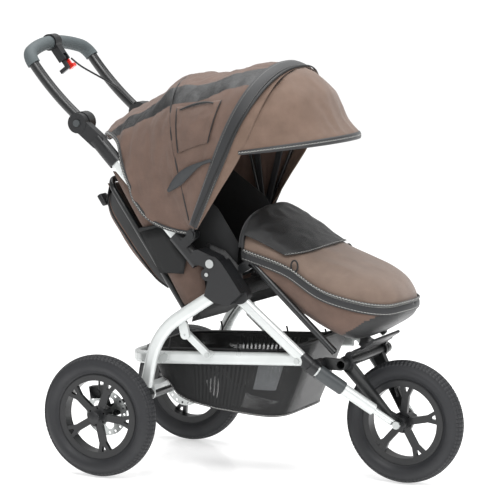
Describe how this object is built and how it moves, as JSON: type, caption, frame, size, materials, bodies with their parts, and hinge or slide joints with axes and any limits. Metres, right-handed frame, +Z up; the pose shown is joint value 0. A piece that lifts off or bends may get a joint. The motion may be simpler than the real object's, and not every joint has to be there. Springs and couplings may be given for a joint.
{
  "type": "jogging stroller",
  "caption": "Three-wheeled jogging stroller with hooped canopy, reclining seat, padded leg cover, hanging basket, sprung rear axle, disc brakes and pivoting push handle.",
  "frame": {"origin": "on the ground under the middle of the whole stroller", "axes": "+X forwards, +Y to the passenger's left, +Z up"},
  "size_m": [1.1851, 0.6044, 1.1041],
  "materials": {
    "silver_tube": "satin silver lacquer",
    "black_plastic": "fine matte grain",
    "grey_plastic": "fine matte grain",
    "black_metal": "satin black powder coat",
    "bare_steel": "brushed",
    "tyre_rubber": "matte",
    "rim_plastic": "satin",
    "grip_foam": "matte foam",
    "red_plastic": "gloss",
    "cable_sleeve": "satin",
    "brown_cloth": "plain weave",
    "black_cloth": "plain weave and mesh",
    "webbing": "woven webbing"
  },
  "bodies": {
    "chassis": {"lower_frame_bar": "silver_tube", "front_tube_left": "silver_tube", "front_tube_right": "silver_tube", "rear_leg_left": "silver_tube", "rear_leg_right": "silver_tube", "brace_struts": "silver_tube", "hinge_bracket_left": "black_plastic", "hinge_bracket_right": "black_plastic", "rear_crossbar": "silver_tube", "torsion_tube": "black_metal", "fork_sockets": "black_plastic", "fork_sleeves": "grey_plastic", "fork_tubes": "silver_tube", "fork_arms": "black_metal", "front_axle": "bare_steel", "footrest_crossbar": "black_metal", "seat_hammock": "black_cloth", "seat_rails": "black_metal", "leg_cover": "brown_cloth", "basket": "black_cloth", "frame_fasteners": "bare_steel", "brake_cable_lower": "cable_sleeve"},
    "footrest": {"footrest_board": "black_plastic"},
    "rear_suspension": {"swing_arm_left": "black_metal", "swing_arm_right": "black_metal", "rear_axle": "bare_steel", "brake_calipers": "black_metal"},
    "front_wheel": {"tyre_front": "tyre_rubber", "wheel_front": "rim_plastic"},
    "left_wheel": {"tyre_left": "tyre_rubber", "wheel_left": "rim_plastic", "hub_cap_left": "black_plastic", "brake_disc_left": "bare_steel"},
    "right_wheel": {"tyre_right": "tyre_rubber", "wheel_right": "rim_plastic", "hub_cap_right": "black_plastic", "brake_disc_right": "bare_steel"},
    "upper_frame": {"upper_tubes": "silver_tube", "hinge_knuckles": "black_plastic", "handle_sockets": "black_plastic", "canopy_mounts": "black_plastic", "canopy_rear_cover": "brown_cloth"},
    "handle": {"handle_arms": "black_metal", "handle_bow": "black_metal", "handle_grip": "grip_foam", "brake_clamp": "black_plastic", "brake_cable_upper": "cable_sleeve"},
    "brake_lever": {"brake_lever": "black_plastic"},
    "parking_lock": {"parking_lock": "red_plastic"},
    "left_angle_button": {"angle_button_left": "grey_plastic"},
    "right_angle_button": {"angle_button_right": "grey_plastic"},
    "backrest": {"backrest_frame": "black_metal", "backrest_pad": "black_cloth", "rear_pocket": "brown_cloth", "harness": "webbing"},
    "canopy_middle": {"canopy_middle_hoop": "black_metal", "canopy_middle_cover": "brown_cloth"},
    "canopy_front": {"canopy_front_hoop": "black_metal", "canopy_front_cover": "brown_cloth"},
    "canopy_visor": {"canopy_visor": "brown_cloth"}
  },
  "joints": [
    {"name": "front_wheel_spin", "type": "hinge", "parent": "chassis", "child": "front_wheel", "pos_m": [0.435, 0, 0.1575], "axis": [0, 1, 0], "continuous": true},
    {"name": "rear_suspension_swing", "type": "hinge", "parent": "chassis", "child": "rear_suspension", "pos_m": [-0.184, 0, 0.212], "axis": [0, 1, 0], "range_deg": [0, 6], "stiffness_Nm_per_rad": 220, "springref_deg": -6.88},
    {"name": "left_wheel_spin", "type": "hinge", "parent": "rear_suspension", "child": "left_wheel", "pos_m": [-0.295, 0.261, 0.1575], "axis": [0, 1, 0], "continuous": true},
    {"name": "right_wheel_spin", "type": "hinge", "parent": "rear_suspension", "child": "right_wheel", "pos_m": [-0.295, -0.261, 0.1575], "axis": [0, 1, 0], "continuous": true},
    {"name": "frame_fold", "type": "hinge", "parent": "chassis", "child": "upper_frame", "pos_m": [-0.001, 0, 0.56], "axis": [0, 1, 0], "range_deg": [0, 40]},
    {"name": "handle_angle", "type": "hinge", "parent": "upper_frame", "child": "handle", "pos_m": [-0.392, 0, 0.893], "axis": [0, 1, 0], "range_deg": [-40, 30]},
    {"name": "brake_lever_pull", "type": "hinge", "parent": "handle", "child": "brake_lever", "pos_m": [-0.53735, 0, 1.04205], "axis": [0, 1, 0], "range_deg": [0, 22], "stiffness_Nm_per_rad": 0.4, "springref_deg": -8.59},
    {"name": "parking_lock_turn", "type": "hinge", "parent": "handle", "child": "parking_lock", "pos_m": [-0.53735, 0, 1.04205], "axis": [0, 1, 0], "range_deg": [0, 30]},
    {"name": "left_button_press", "type": "slide", "parent": "upper_frame", "child": "left_angle_button", "axis": [0, -1, 0], "range_m": [0, 0.003], "stiffness_N_per_m": 300, "springref_m": -0.002},
    {"name": "right_button_press", "type": "slide", "parent": "upper_frame", "child": "right_angle_button", "axis": [0, 1, 0], "range_m": [0, 0.003], "stiffness_N_per_m": 300, "springref_m": -0.002},
    {"name": "backrest_recline", "type": "hinge", "parent": "chassis", "child": "backrest", "pos_m": [-0.098, 0, 0.428], "axis": [0, -1, 0], "range_deg": [0, 25]},
    {"name": "canopy_middle_fold", "type": "hinge", "parent": "upper_frame", "child": "canopy_middle", "pos_m": [-0.055, 0, 0.63], "axis": [0, -1, 0], "range_deg": [0, 24]},
    {"name": "canopy_front_fold", "type": "hinge", "parent": "canopy_middle", "child": "canopy_front", "pos_m": [-0.055, 0, 0.63], "axis": [0, -1, 0], "range_deg": [0, 12.8]},
    {"name": "visor_tilt", "type": "hinge", "parent": "canopy_front", "child": "canopy_visor", "pos_m": [0.03191, 0, 0.83776], "axis": [0, -1, 0], "range_deg": [-12, 0]},
    {"name": "footrest_tilt", "type": "hinge", "parent": "chassis", "child": "footrest", "pos_m": [0.322, 0, 0.316], "axis": [0, 1, 0], "range_deg": [0, 30]}
  ],
  "couplings": [
    {"joint": "canopy_front_fold", "follows": "canopy_middle_fold", "ratio": 0.5333}
  ]
}
